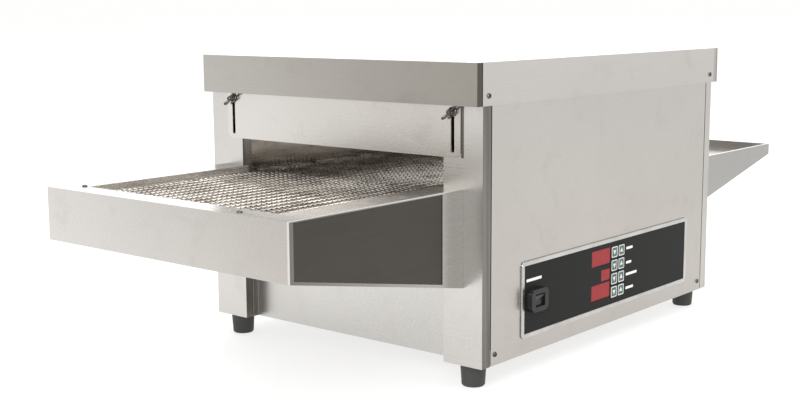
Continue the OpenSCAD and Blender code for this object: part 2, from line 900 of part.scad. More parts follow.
base_pan();
front_panel();
rear_panel();
infeed_end_panel();
outfeed_end_panel();
infeed_lower_panel();
outfeed_lower_panel();
lid();
case_screws();
feet();
infeed_baffle();
outfeed_baffle();
baffle_studs();
infeed_front_wing_nut();
infeed_rear_wing_nut();
outfeed_front_wing_nut();
outfeed_rear_wing_nut();
infeed_tray();
infeed_side_panels();
outfeed_tray();
crumb_tray();
oven_chamber();
chamber_floor();
insulation();
upper_elements();
lower_elements();
element_holders();
reflectors();
belt_rails();
conveyor_belt();
drive_shaft();
drive_sprockets();
nose_shaft();
nose_rollers();
shaft_bearings();
gear_motor();
motor_bracket();
motor_shaft();
motor_sprocket();
shaft_sprocket();
drive_chain();
control_fascia();
fascia_frame();
displays();
key_1_down();
key_1_up();
key_2_down();
key_2_up();
key_3_down();
key_3_up();
key_4_down();
key_4_up();
switch_housing();
power_rocker();
control_board();
power_relays();
thermocouple();
fan_housing();
fan_rotor();
cable_gland();
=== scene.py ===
import math

import bpy
import numpy as np
from mathutils import Matrix, Vector


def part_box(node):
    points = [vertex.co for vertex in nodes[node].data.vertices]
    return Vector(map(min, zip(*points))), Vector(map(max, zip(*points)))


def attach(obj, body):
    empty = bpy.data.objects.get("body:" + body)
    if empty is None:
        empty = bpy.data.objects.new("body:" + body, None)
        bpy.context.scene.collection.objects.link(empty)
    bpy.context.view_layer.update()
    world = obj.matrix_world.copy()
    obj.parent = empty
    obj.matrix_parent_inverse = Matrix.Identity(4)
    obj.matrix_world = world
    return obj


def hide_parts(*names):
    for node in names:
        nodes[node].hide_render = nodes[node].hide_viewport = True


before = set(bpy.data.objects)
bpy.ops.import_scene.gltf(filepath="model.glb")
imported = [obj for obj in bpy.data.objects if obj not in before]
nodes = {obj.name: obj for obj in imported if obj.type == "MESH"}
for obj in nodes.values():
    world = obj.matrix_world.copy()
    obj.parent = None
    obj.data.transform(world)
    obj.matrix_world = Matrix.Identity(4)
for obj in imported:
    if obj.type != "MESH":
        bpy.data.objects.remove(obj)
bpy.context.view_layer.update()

scene = bpy.context.scene
scene.view_settings.view_transform = "Standard"


# ---------- camera ----------

CAMERA_PLACE = (-1.610, -1.207, 0.506)
CAMERA_HEADING, CAMERA_DIP, CAMERA_ROLL = 49.993, 8.898, -0.300
CAMERA_LENS, CAMERA_SENSOR = 56.48, 36


def make_camera():
    """A little above the lid, at the corner between the infeed end and the front.
    The heading runs from +Y towards +X, and the dip is below level. Both are in degrees."""
    heading, dip, roll = (math.radians(a) for a in (CAMERA_HEADING, CAMERA_DIP, CAMERA_ROLL))
    forward = Vector((math.sin(heading) * math.cos(dip), math.cos(heading) * math.cos(dip), -math.sin(dip)))
    right = Vector((math.cos(heading), -math.sin(heading), 0))
    across = right * math.cos(roll) + right.cross(forward) * math.sin(roll)
    data = bpy.data.cameras.new("camera")
    data.sensor_width = CAMERA_SENSOR
    data.lens = CAMERA_LENS
    data.clip_start, data.clip_end = 0.05, 100
    cam = bpy.data.objects.new("camera", data)
    turn = Matrix((across, across.cross(forward), -forward)).transposed().to_4x4()
    cam.matrix_world = Matrix.Translation(CAMERA_PLACE) @ turn
    scene.collection.objects.link(cam)
    scene.camera = cam


make_camera()


# ---------- materials ----------

# the least share of a normal along an axis for its face to count as looking that way
FACING_LEAST = 0.6


class Shader:
    """A node material in the making, with short calls for the nodes it needs."""

    def __init__(self, name, **sockets):
        self.material = bpy.data.materials.new(name)
        self.material.use_nodes = True
        self.tree = self.material.node_tree
        self.surface = self.tree.nodes["Principled BSDF"]
        coords = self.tree.nodes.new("ShaderNodeTexCoord")
        self.place, self.normal = coords.outputs["Object"], coords.outputs["Normal"]
        for socket, value in sockets.items():
            self.surface.inputs[socket.replace("_", " ")].default_value = value

    def put(self, socket, value):
        self.tree.links.new(value, self.surface.inputs[socket])

    def math(self, kind, *values):
        n = self.tree.nodes.new("ShaderNodeMath")
        n.operation = kind
        for i, v in enumerate(values):
            if isinstance(v, (int, float)):
                n.inputs[i].default_value = v
            else:
                self.tree.links.new(v, n.inputs[i])
        return n.outputs[0]

    def scaled(self, scale):
        n = self.tree.nodes.new("ShaderNodeMapping")
        n.inputs["Scale"].default_value = scale
        self.tree.links.new(self.place, n.inputs["Vector"])
        return n.outputs[0]

    def noise(self, scale, detail=3.0, rough=0.55, warp=0.0):
        """Noise whose scale is one number, or one for each axis."""
        n = self.tree.nodes.new("ShaderNodeTexNoise")
        n.inputs["Scale"].default_value = 1.0
        n.inputs["Detail"].default_value = detail
        n.inputs["Roughness"].default_value = rough
        n.inputs["Distortion"].default_value = warp
        scales = scale if isinstance(scale, tuple) else (scale,) * 3
        self.tree.links.new(self.scaled(scales), n.inputs["Vector"])
        return n.outputs["Fac"]

    def part(self, vector, axis):
        n = self.tree.nodes.new("ShaderNodeSeparateXYZ")
        self.tree.links.new(vector, n.inputs[0])
        return n.outputs[axis]

    def spread(self, value, low, high, out_low=0.0, out_high=1.0):
        n = self.tree.nodes.new("ShaderNodeMapRange")
        n.inputs["From Min"].default_value = low
        n.inputs["From Max"].default_value = high
        n.inputs["To Min"].default_value = out_low
        n.inputs["To Max"].default_value = out_high
        self.tree.links.new(value, n.inputs["Value"])
        return n.outputs[0]

    def mix(self, fac, a, b, blend="MIX"):
        n = self.tree.nodes.new("ShaderNodeMix")
        n.data_type, n.blend_type = "RGBA", blend
        for socket, v in ((0, fac), (6, a), (7, b)):
            if isinstance(v, tuple):
                n.inputs[socket].default_value = (*v, 1.0)
            elif isinstance(v, (int, float)):
                n.inputs[socket].default_value = v
            else:
                self.tree.links.new(v, n.inputs[socket])
        return n.outputs[2]

    def bump(self, height, strength, depth):
        n = self.tree.nodes.new("ShaderNodeBump")
        n.inputs["Strength"].default_value = strength
        n.inputs["Distance"].default_value = depth
        self.tree.links.new(height, n.inputs["Height"])
        self.put("Normal", n.outputs[0])

    def facing(self, axis):
        """1 where the face's normal lies along that axis, either way."""
        return self.math("GREATER_THAN", self.math("ABSOLUTE", self.part(self.normal, axis)), FACING_LEAST)

    def upward(self):
        """1 where the face looks up."""
        return self.math("GREATER_THAN", self.part(self.normal, "Z"), FACING_LEAST)

    def along(self, axis, start, end):
        """Runs from 0 to 1 between two places on the axis."""
        return self.spread(self.part(self.place, axis), start, end)

    def both(self, *factors):
        """1 where every factor is 1."""
        out = factors[0]
        for f in factors[1:]:
            out = self.math("MULTIPLY", out, f)
        return out

    def blend(self, fac, a, b):
        """Runs from number a to number b as fac goes from 0 to 1."""
        return self.math("ADD", a, self.math("MULTIPLY", fac, self.math("SUBTRACT", b, a)))


def shade(colour, k):
    """The colour made darker or lighter by a factor."""
    return tuple(min(1.0, c * k) for c in colour)


# how many times a metre the steel's grain varies, along it and across it
GRAIN_LONG, GRAIN_FINE = 7, 900


def steel(name, tone, rough=0.30, grain=0.015, patch=0.04, layers=()):
    """Brushed stainless sheet: fine grain along each face, faint clouds and handling marks.
    Each layer is (where, colour): a share of another tone, such as a part that stands in shade."""
    s = Shader(name, Metallic=1.0)
    upright = s.noise((GRAIN_LONG, GRAIN_LONG, GRAIN_FINE), 4.0, 0.6)
    level = s.noise((GRAIN_LONG, GRAIN_FINE, GRAIN_FINE), 4.0, 0.6)
    streak = s.blend(s.facing("Z"), upright, level)
    clouds = s.noise(2.6, 2.0)
    marks = s.noise(23, 6.0, 0.62, 0.4)
    colour = tone
    for where, other in layers:
        colour = s.mix(where(s), colour, other)
    grained = s.spread(streak, 0.35, 0.65, 1 - grain, 1 + grain)
    clouded = s.spread(clouds, 0.35, 0.65, 1.0, 1 - patch)
    marked = s.spread(marks, 0.56, 0.74, 1.0, 0.94)
    worn = s.both(grained, clouded, marked)
    grey = s.tree.nodes.new("ShaderNodeCombineXYZ")
    for socket in grey.inputs:
        s.tree.links.new(worn, socket)
    s.put("Base Color", s.mix(1.0, colour, grey.outputs[0], "MULTIPLY"))
    brushed = s.spread(streak, 0.3, 0.7, rough - 0.04, rough + 0.04)
    handled = s.spread(marks, 0.5, 0.75, 0.0, 0.07)
    hazed = s.spread(clouds, 0.3, 0.7, -0.03, 0.03)
    s.put("Roughness", s.math("ADD", s.math("ADD", brushed, handled), hazed))
    s.bump(streak, 0.02, 0.0002)
    return s.material


def metal(name, tone, rough, fine, patch=0.12, dirt=None):
    """Machined, plated or cast metal with mottled gloss. Dirt is a second colour, in patches."""
    s = Shader(name, Metallic=1.0)
    small, large = s.noise(fine, 5.0, 0.6), s.noise(fine / 9, 3.0)
    colour = s.mix(s.spread(large, 0.35, 0.65), shade(tone, 1 - patch), shade(tone, 1 + patch))
    if dirt:
        colour = s.mix(s.spread(s.noise(fine / 4, 4.0, 0.7), 0.48, 0.66, 0.0, 0.7), colour, dirt)
    s.put("Base Color", colour)
    s.put("Roughness", s.spread(small, 0.3, 0.7, rough - 0.08, rough + 0.10))
    s.bump(small, 0.15, 0.0003)
    return s.material


def plastic(name, tone, rough, fine, patch=0.10, depth=0.0002, **sockets):
    """Moulded plastic, rubber, ceramic or paint, with a grained surface."""
    s = Shader(name, **sockets)
    small, large = s.noise(fine, 3.0), s.noise(11, 4.0, 0.6)
    s.put("Base Color", s.mix(s.spread(large, 0.35, 0.65), shade(tone, 1 - patch), shade(tone, 1 + patch)))
    grained = s.spread(small, 0.3, 0.7, rough - 0.05, rough + 0.05)
    handled = s.spread(large, 0.4, 0.7, -0.03, 0.05)
    s.put("Roughness", s.math("ADD", grained, handled))
    s.bump(small, 0.25, depth)
    return s.material


LID_LOW, LID_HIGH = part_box("lid")
TRAY_LOW, TRAY_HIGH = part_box("infeed_tray")
# the width of the folds at the lid's ends, and the painted shadow line beside the baffle's front edge,
# measured from that edge
LID_RETURN = 0.0123
BAFFLE_SHADOW_SPAN = (-0.0002, 0.0044)
# the bright bends above and before the infeed tray's side flanges, and how deep the flanges' faces lie
BEND_TOP, BEND_TIP, FLANGE_DEPTH = 0.0012, 0.0035, 0.004
# the colour of the painted shade on the folds and beside the baffle
SHADE = (0.070, 0.061, 0.052)
CASING = (0.60, 0.580, 0.555)
SIDE_DARK = (0.13, 0.125, 0.118)


def infeed_half(s):
    """How much painted shade the folds get: 1 at the infeed end and 0.25 at the outfeed end, whose folds
    are brighter.
    """
    return s.blend(s.along("X", -0.05, 0.05), 1.0, 0.25)


def return_shade(s):
    """Painted shade on the narrow folds of the end panels, which face the front and the rear."""
    return s.both(s.facing("Y"), s.spread(s.noise((60, 60, 3), 2.0), 0.3, 0.7, 0.70, 0.95), infeed_half(s))


def baffle_edge_shadow(s):
    """A painted shadow line on the end panel, beside the baffle's front edge."""
    lo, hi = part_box("infeed_baffle")
    off = s.math("MULTIPLY", s.part(s.place, "Y"), -1.0)
    start, end = (hi.y + d for d in BAFFLE_SHADOW_SPAN)
    line = s.both(s.math("GREATER_THAN", off, start), s.math("LESS_THAN", off, end))
    return s.both(line, s.facing("X"), s.math("GREATER_THAN", s.part(s.place, "Z"), lo.z), 0.85)


def lid_return_shade(s):
    """Painted shade on the folds of the lid's end skirts, round its corners."""
    off = s.math("ABSOLUTE", s.math("SUBTRACT", s.part(s.place, "X"), (LID_HIGH.x + LID_LOW.x) / 2))
    outer = s.math("GREATER_THAN", off, (LID_HIGH.x - LID_LOW.x) / 2 - LID_RETURN)
    return s.both(outer, s.facing("Y"), 0.95, infeed_half(s))


def lid_end_shade(s):
    """Painted shade on the lid's end skirts, darker towards the front."""
    return s.both(s.facing("X"), s.blend(s.along("Y", 0.27, -0.27), 0.35, 1.0))


def front_low_shade(s):
    """Painted shade on the faces towards the front and the rear, darker lower down."""
    return s.both(s.facing("Y"), s.along("Z", 0.44, 0.20))


def end_shade_to_front(s):
    """Painted shade on the faces at the ends, darker towards the front corner."""
    return s.both(s.facing("X"), s.along("Y", 0.22, -0.24))


def top_shade(s):
    """Painted shade on the faces that look up."""
    return s.math("MULTIPLY", s.upward(), 0.9)


def near_lip_highlight(s):
    """A painted highlight on the infeed tray's upper face, brighter towards the front and away from its
    tip.
    """
    return s.both(s.upward(), s.along("Y", 0.0, -0.19), s.along("X", TRAY_LOW.x - 0.02, TRAY_LOW.x + 0.05))


def tray_side(s):
    """The infeed tray's side flanges, below the bright bend of the rim."""
    low = s.math("LESS_THAN", s.part(s.place, "Z"), TRAY_HIGH.z - BEND_TOP)
    inner = s.math("GREATER_THAN", s.part(s.place, "X"), TRAY_LOW.x + BEND_TIP)
    outer = s.math("GREATER_THAN", s.math("ABSOLUTE", s.part(s.place, "Y")), TRAY_HIGH.y - FLANGE_DEPTH)
    fading = s.blend(s.along("X", TRAY_LOW.x, TRAY_HIGH.x), 0.92, 0.46)
    return s.both(s.facing("Y"), low, inner, outer, fading)


# Most layers below paint shade into the steels' colours; the infeed tray's near lip gets a painted
# highlight.
MATERIALS = {
    "casing": steel("casing_steel", shade(CASING, 0.85), layers=[
        (front_low_shade, (0.470, 0.445, 0.415))]),
    "lid": steel("lid_steel", shade(CASING, 0.92), layers=[
        (top_shade, (0.41, 0.40, 0.385)), (lid_end_shade, (0.33, 0.305, 0.275)),
        (front_low_shade, (0.44, 0.42, 0.395)), (lid_return_shade, SHADE)]),
    "lower": steel("lower_panel_steel", (0.59, 0.575, 0.555), layers=[(return_shade, SHADE)]),
    "column": steel("column_steel", (0.62, 0.60, 0.575), layers=[
        (return_shade, SHADE), (baffle_edge_shadow, SHADE)]),
    "baffle": steel("baffle_steel", (0.68, 0.66, 0.635), rough=0.26, layers=[
        (end_shade_to_front, (0.57, 0.54, 0.50))]),
    "tray": steel("tray_steel", (0.64, 0.62, 0.60), rough=0.26, layers=[
        (end_shade_to_front, (0.46, 0.435, 0.405)), (top_shade, (0.32, 0.31, 0.295)),
        (near_lip_highlight, (0.82, 0.79, 0.75)), (tray_side, SIDE_DARK)]),
    "landing": steel("landing_steel", (0.57, 0.555, 0.54), layers=[
        (top_shade, (0.39, 0.37, 0.35)), (tray_side, SIDE_DARK)]),
    "side_panel": steel("side_panel_steel", (0.070, 0.065, 0.058), rough=0.38, grain=0.06),
    "chamber": steel("chamber_steel", (0.60, 0.565, 0.52), rough=0.10, patch=0.10),
    "reflector": steel("reflector_steel", (0.55, 0.53, 0.50), rough=0.15),
    "screw": metal("screw_steel", (0.13, 0.125, 0.115), 0.30, 500, dirt=(0.04, 0.035, 0.03)),
    "wing": metal("wing_nut_steel", (0.17, 0.155, 0.14), 0.34, 420, dirt=(0.05, 0.04, 0.03)),
    "belt": metal("belt_wire", (0.60, 0.56, 0.51), 0.28, 90, 0.22, dirt=(0.20, 0.165, 0.13)),
    "rail": metal("rail_steel", (0.42, 0.40, 0.37), 0.34, 220, dirt=(0.14, 0.11, 0.08)),
    "shaft": metal("shaft_steel", (0.55, 0.54, 0.53), 0.25, 300),
    "sprocket": metal("sprocket_steel", (0.34, 0.33, 0.31), 0.40, 300, dirt=(0.06, 0.05, 0.04)),
    "bronze": metal("bush_bronze", (0.56, 0.36, 0.15), 0.33, 300),
    "probe": metal("probe_steel", (0.45, 0.42, 0.38), 0.30, 300, dirt=(0.20, 0.15, 0.10)),
    "frame": metal("fascia_frame_metal", (0.50, 0.49, 0.475), 0.30, 300, 0.08),
    "foot": plastic("foot_rubber", (0.032, 0.032, 0.031), 0.60, 700, 0.2),
    "fascia": plastic("fascia_film", (0.016, 0.016, 0.0155), 0.42, 1500, 0.08, 0.00005,
                      Specular_IOR_Level=0.06),
    "legend": plastic("legend_ink", (0.80, 0.80, 0.78), 0.50, 1500, 0.04, 0.00005),
    "display": plastic("display_red", (0.29, 0.012, 0.016), 0.30, 1500, 0.08, 0.00002,
                       Specular_IOR_Level=0.20),
    "key": plastic("key_green", (0.055, 0.085, 0.072), 0.40, 1500, 0.15, 0.00005),
    "key_mark": plastic("key_ink", (0.62, 0.66, 0.63), 0.45, 1500, 0.10, 0.00005),
    "switch": plastic("switch_black", (0.012, 0.012, 0.012), 0.22, 1200, 0.15, 0.00003,
                      Specular_IOR_Level=0.25),
    "board": plastic("board_green", (0.020, 0.12, 0.05), 0.35, 700),
    "relay": plastic("relay_ivory", (0.62, 0.59, 0.50), 0.42, 700),
    "motor": plastic("motor_paint", (0.05, 0.055, 0.06), 0.35, 500),
    "fan": plastic("fan_black", (0.022, 0.022, 0.022), 0.40, 800),
    "gland": plastic("gland_black", (0.020, 0.020, 0.020), 0.42, 800),
    "ceramic": plastic("ceramic_white", (0.70, 0.68, 0.62), 0.65, 500),
    "wool": plastic("insulation_wool", (0.60, 0.54, 0.40), 0.95, 140, 0.25, 0.004),
    "quartz": plastic("quartz_tube", (0.78, 0.74, 0.70), 0.18, 120, 0.12, 0.0003,
                      Coat_Weight=0.3),
}
LOOKS = {
    "casing": ["base_pan", "front_panel", "rear_panel"],
    "lid": ["lid"],
    "column": ["infeed_end_panel", "outfeed_end_panel"],
    "lower": ["infeed_lower_panel", "outfeed_lower_panel"],
    "baffle": ["infeed_baffle", "outfeed_baffle"],
    "tray": ["infeed_tray"],
    "landing": ["outfeed_tray"],
    "side_panel": ["infeed_side_panels"],
    "chamber": ["oven_chamber", "chamber_floor", "crumb_tray"],
    "reflector": ["reflectors"],
    "rail": ["belt_rails"],
    "shaft": ["drive_shaft", "nose_shaft", "nose_rollers", "motor_shaft", "motor_bracket"],
    "sprocket": ["drive_sprockets", "shaft_sprocket", "motor_sprocket", "drive_chain"],
    "bronze": ["shaft_bearings"],
    "probe": ["thermocouple"],
    "frame": ["fascia_frame"],
    "foot": ["feet"],
    "fascia": ["control_fascia"],
    "display": ["displays"],
    "key": [n for n in nodes if n.startswith("key_")],
    "switch": ["switch_housing", "power_rocker"],
    "board": ["control_board"],
    "relay": ["power_relays"],
    "motor": ["gear_motor"],
    "fan": ["fan_housing", "fan_rotor"],
    "gland": ["cable_gland"],
    "ceramic": ["element_holders"],
    "wool": ["insulation"],
    "quartz": ["upper_elements", "lower_elements"],
    "belt": ["conveyor_belt"],
    "screw": ["case_screws", "baffle_studs"],
    "wing": [n for n in nodes if n.endswith("wing_nut")],
}
for look, names in LOOKS.items():
    for n in names:
        nodes[n].data.materials.clear()
        nodes[n].data.materials.append(MATERIALS[look])


SHARP_ANGLE, SMOOTH_ANGLE = 35, 38


def soften(node, width, segments=2):
    """Breaks a CAD node's sharp edges, as folded or moulded edges are."""
    o = nodes[node]
    weld = o.modifiers.new("weld", "WELD")
    weld.merge_threshold = 1e-5
    bevel = o.modifiers.new("bevel", "BEVEL")
    bevel.width = width
    bevel.segments = segments
    bevel.limit_method = "ANGLE"
    bevel.angle_limit = math.radians(SHARP_ANGLE)
    bevel.use_clamp_overlap = True
    even = o.modifiers.new("even", "WEIGHTED_NORMAL")
    even.keep_sharp = True
    even.weight = 100


for n in ("infeed_tray", "outfeed_tray", "infeed_lower_panel", "outfeed_lower_panel",
          "infeed_side_panels", "crumb_tray"):
    soften(n, 0.0005)
for n in ("switch_housing", "power_rocker"):
    soften(n, 0.0010, 3)
for n in ("fascia_frame", "feet"):
    soften(n, 0.0009, 3)
for n in [k for k in nodes if k.startswith("key_")] + ["displays", "cable_gland", "fan_housing"]:
    soften(n, 0.0004)


# ---------- shape building ----------

def mesh_object(name, shape, look, body, smooth=True):
    """Makes a piece from a shape, on a body of the CAD model."""
    mesh = bpy.data.meshes.new(name)
    mesh.from_pydata([tuple(v) for v in shape.verts], [], [tuple(f) for f in shape.faces])
    mesh.materials.append(MATERIALS[look])
    mesh.validate()
    mesh.update()
    if smooth:
        mesh.shade_smooth()
        mesh.set_sharp_from_angle(angle=math.radians(SMOOTH_ANGLE))
    o = bpy.data.objects.new(name, mesh)
    scene.collection.objects.link(o)
    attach(o, body)
    return o


def ring_points(rings, sides):
    """The points of each (radius, height) ring round local Z."""
    turns = [2 * math.pi * i / sides for i in range(sides)]
    return [(r * math.cos(a), r * math.sin(a), z) for r, z in rings for a in turns]


class Shape:
    """Collects vertices and faces of several closed pieces."""

    def __init__(self):
        self.verts, self.faces = [], []

    def add(self, verts, faces, place):
        """One closed piece, moved from its own frame by the matrix place."""
        base = len(self.verts)
        self.verts += [place @ Vector(v) for v in verts]
        self.faces += [[base + i for i in f] for f in faces]

    def lathe(self, profile, place, sides=24):
        """profile is (radius, height) from the axis at one end to the axis at the other.
        The axis is local Z."""
        rings = profile[1:-1]
        verts, faces = [(0, 0, profile[0][1])] + ring_points(rings, sides), []
        verts.append((0, 0, profile[-1][1]))
        for i in range(sides):
            j = (i + 1) % sides
            faces.append((0, 1 + j, 1 + i))
            for k in range(len(rings) - 1):
                a, b = 1 + k * sides, 1 + (k + 1) * sides
                faces.append((a + i, a + j, b + j, b + i))
            last = 1 + (len(rings) - 1) * sides
            faces.append((last + i, last + j, len(verts) - 1))
        self.add(verts, faces, place)

    def plate(self, outline, low, high, place):
        """A closed plate: the outline in local X and Y, between two heights."""
        n = len(outline)
        verts = [(x, y, low) for x, y in outline] + [(x, y, high) for x, y in outline]
        faces = [list(reversed(range(n))), list(range(n, 2 * n))]
        faces += [(i, (i + 1) % n, n + (i + 1) % n, n + i) for i in range(n)]
        self.add(verts, faces, place)

    def tubes(self, lines, radius, sides=5):
        """A closed tube along each line; all lines have the same number of points."""
        p = np.array(lines)
        t = np.gradient(p, axis=1)
        t /= np.linalg.norm(t, axis=2, keepdims=True)
        ref = np.cross(t, np.array((0.31, 0.17, 0.93)))
        ref /= np.linalg.norm(ref, axis=2, keepdims=True)
        for i in range(1, p.shape[1]):
            carried = ref[:, i - 1] - t[:, i] * np.sum(ref[:, i - 1] * t[:, i], axis=1, keepdims=True)
            ref[:, i] = carried / np.linalg.norm(carried, axis=1, keepdims=True)
        side = np.cross(t, ref)
        a = np.arange(sides) * 2 * np.pi / sides
        cosines, sines = np.cos(a)[None, None, :, None], np.sin(a)[None, None, :, None]
        ring = p[:, :, None] + radius * (ref[:, :, None] * cosines + side[:, :, None] * sines)
        count, points = p.shape[:2]
        base = len(self.verts)
        self.verts += [tuple(v) for v in ring.reshape(-1, 3)]
        for c in range(count):
            start = base + c * points * sides
            for k in range(points - 1):
                q = start + k * sides
                for i in range(sides):
                    j = (i + 1) % sides
                    self.faces.append((q + i, q + j, q + sides + j, q + sides + i))
            self.faces.append([start + i for i in reversed(range(sides))])
            self.faces.append([start + (points - 1) * sides + i for i in range(sides)])


def islands(node):
    """The boxes of a node's separate solids, each with its long axis and the end its head is on."""
    mesh = nodes[node].data
    co = np.array([v.co for v in mesh.vertices])
    keys, link = {}, list(range(len(co)))

    def root(i):
        while link[i] != i:
            link[i] = link[link[i]]
            i = link[i]
        return i

    for i, v in enumerate(np.round(co, 6)):
        j = keys.setdefault(tuple(v), i)
        link[root(i)] = root(j)
    for e in mesh.edges:
        link[root(e.vertices[0])] = root(e.vertices[1])
    groups = {}
    for i in range(len(co)):
        groups.setdefault(root(i), []).append(i)
    out = []
    for ids in groups.values():
        pts = co[ids]
        lo, hi = pts.min(0), pts.max(0)
        axis = int(np.argmax(hi - lo))
        middle = (lo + hi) / 2
        spread = np.abs(pts - middle)
        spread[:, axis] = 0
        far = pts[spread.max(1) > spread.max() * 0.9][:, axis].mean()
        out.append((lo, hi, axis, 1 if far > middle[axis] else -1))
    return sorted(out, key=lambda g: tuple(g[0].round(5)))


def axis_place(lo, hi, axis, way):
    """A matrix whose local Z runs from the box's far end to its head end.
    Its origin is at the head's outer face."""
    d = Vector((0, 0, 0))
    d[axis] = way
    centre = (Vector(lo) + Vector(hi)) / 2
    centre[axis] = hi[axis] if way > 0 else lo[axis]
    return Matrix.Translation(centre) @ d.to_track_quat("Z", "Y").to_matrix().to_4x4()


# ---------- screws, studs and wing nuts ----------

HEAD_RISE, SHANK_R, HEAD_GRID = 0.0022, 0.0020, 33
CROSS_HALF, CROSS_REACH, CROSS_DEPTH = 0.13, 0.58, 0.55


def screw_head(shape, place, r, length):
    """A pan head with a cross recess, on a plain shank. A square grid is bent into the head's disc."""
    n = HEAD_GRID
    verts, faces, index = [], [], {}
    for i in range(n):
        for j in range(n):
            x, y = 2 * i / (n - 1) - 1, 2 * j / (n - 1) - 1
            u, v = x * math.sqrt(1 - y * y / 2), y * math.sqrt(1 - x * x / 2)
            q = math.hypot(u, v)
            z = -HEAD_RISE * (0.10 * q + 0.80 * q ** 6)
            if min(abs(u), abs(v)) < CROSS_HALF and max(abs(u), abs(v)) < CROSS_REACH:
                z -= HEAD_RISE * CROSS_DEPTH
            index[i, j] = len(verts)
            verts.append((u * r, v * r, z))
    for i in range(n - 1):
        for j in range(n - 1):
            faces.append((index[i, j], index[i + 1, j], index[i + 1, j + 1], index[i, j + 1]))
    rim = [(i, 0) for i in range(n - 1)] + [(n - 1, j) for j in range(n - 1)]
    rim += [(i, n - 1) for i in range(n - 1, 0, -1)] + [(0, j) for j in range(n - 1, 0, -1)]
    m = len(rim)
    loops = []
    for radius, z in ((r * 0.98, -HEAD_RISE), (SHANK_R, -HEAD_RISE), (SHANK_R, -length)):
        loop = []
        for k in rim:
            x, y, _ = verts[index[k]]
            q = math.hypot(x, y)
            loop.append(len(verts))
            verts.append((x / q * radius, y / q * radius, z))
        loops.append(loop)
    previous = [index[k] for k in rim]
    for loop in loops:
        faces += [(previous[(i + 1) % m], previous[i], loop[i], loop[(i + 1) % m]) for i in range(m)]
        previous = loop
    faces.append(list(previous))
    shape.add(verts, faces, place)


def screws():
    """A shaped screw in place of each plain one."""
    shape = Shape()
    for lo, hi, axis, way in islands("case_screws"):
        size = hi - lo
        screw_head(shape, axis_place(lo, hi, axis, way), float(min(size)) / 2, float(size[axis]))
    o = mesh_object("case_screw_set", shape, "screw", "casing")
    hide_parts("case_screws")


STUD_R, STUD_CORE_R, STUD_PITCH = 0.0025, 0.00212, 0.0008


def studs():
    """The baffles' threaded studs, each with a flat head."""
    shape = Shape()
    for lo, hi, axis, way in islands("baffle_studs"):
        length = float(hi[axis] - lo[axis])
        head_r = float(hi[1] - lo[1]) / 2
        profile = [(0, -length), (0.0021, -length), (STUD_R, -length + 0.0005)]
        z = -length + 0.0009
        while z < -0.0040:
            profile += [(STUD_CORE_R, z), (STUD_R, z + STUD_PITCH / 2)]
            z += STUD_PITCH
        profile += [(STUD_R, -0.0036), (head_r, -0.0035), (head_r, -0.0005), (head_r - 0.0005, 0), (0, 0)]
        shape.lathe(profile, axis_place(lo, hi, axis, way))
    o = mesh_object("baffle_stud_set", shape, "screw", "casing")
    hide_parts("baffle_studs")


NUT_BORE, NUT_SIDES, WING_TILT = 0.00255, 32, 40
NUT_PROFILE = [(NUT_BORE, 0.0002), (0.0062, 0.0), (0.0065, 0.0004), (0.0065, 0.0013), (0.0060, 0.0017),
               (0.0047, 0.0019), (0.0045, 0.0040), (0.0042, 0.0072), (0.0037, 0.0079), (NUT_BORE, 0.0080)]
EAR_MIDDLE, EAR_R = (0.0115, 0.0064), 0.0042
EAR_ROWS = ((1.0, 0.00045), (0.96, 0.0009), (0.80, 0.0012), (0.35, 0.0012))


def nut_hub():
    """The bored hub on its flange, from (radius, height) pairs round local Z."""
    verts, faces = ring_points(NUT_PROFILE, NUT_SIDES), []
    for k in range(len(NUT_PROFILE)):
        a, b = k * NUT_SIDES, (k + 1) % len(NUT_PROFILE) * NUT_SIDES
        for i in range(NUT_SIDES):
            j = (i + 1) % NUT_SIDES
            faces.append((a + i, a + j, b + j, b + i))
    return verts, faces


def nut_ear():
    """One wing: a rounded ear that thins towards its rim.
    It stands out along local X, and local Z is the nut's axis."""
    outline = [(0.0038, 0.0022), (0.0070, 0.0024), (0.0098, 0.0026)]
    for degrees in range(-75, 136, 15):
        a = math.radians(degrees)
        outline.append((EAR_MIDDLE[0] + EAR_R * math.cos(a), EAR_MIDDLE[1] + EAR_R * math.sin(a)))
    outline += [(0.0066, 0.0073), (0.0038, 0.0072)]
    n, m = len(outline), len(EAR_ROWS)
    cx, cy = sum(p[0] for p in outline) / n, sum(p[1] for p in outline) / n
    verts = []
    for way in (1, -1):
        for inset, half in EAR_ROWS:
            verts += [(cx + (x - cx) * inset, way * half, cy + (y - cy) * inset) for x, y in outline]
    faces = []
    for k in range(m - 1):
        a, b = k * n, (k + 1) * n
        faces += [(a + i, a + (i + 1) % n, b + (i + 1) % n, b + i) for i in range(n)]
        a, b = (m + k) * n, (m + k + 1) * n
        faces += [(a + (i + 1) % n, a + i, b + i, b + (i + 1) % n) for i in range(n)]
    faces.append([(m - 1) * n + i for i in range(n)])
    faces.append([(2 * m - 1) * n + i for i in reversed(range(n))])
    faces += [(i, m * n + i, m * n + (i + 1) % n, (i + 1) % n) for i in range(n)]
    return verts, faces


def wing_nut(node):
    """A wing nut in place of the plain one, with its axis outward and its wings tilted."""
    lo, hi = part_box(node)
    outward = -1 if lo.x < 0 else 1
    seat = hi.x if outward < 0 else lo.x
    centre = Matrix.Translation((seat, (lo.y + hi.y) / 2, (lo.z + hi.z) / 2))
    turn = Matrix.Rotation(math.radians(90 * outward), 4, "Y")
    shape = Shape()
    shape.add(*nut_hub(), centre @ turn)
    tilt = Matrix.Rotation(math.radians(WING_TILT * outward), 4, "X")
    for angle in (-90, 90):
        shape.add(*nut_ear(), centre @ tilt @ turn @ Matrix.Rotation(math.radians(angle), 4, "Z"))
    o = mesh_object(node + "_shape", shape, "wing", node)
    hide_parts(node)


# ---------- belt ----------

BELT_STRANDS, BELT_BAYS, WIRE_R, BELT_EDGE = 216, 37, 0.00085, 0.0050
LOOP_POINTS = 7
# from the belt's outer face to its middle, and from its edge to the loops' wire
BELT_HALF_T, BELT_SIDE = 0.0015, 0.0012


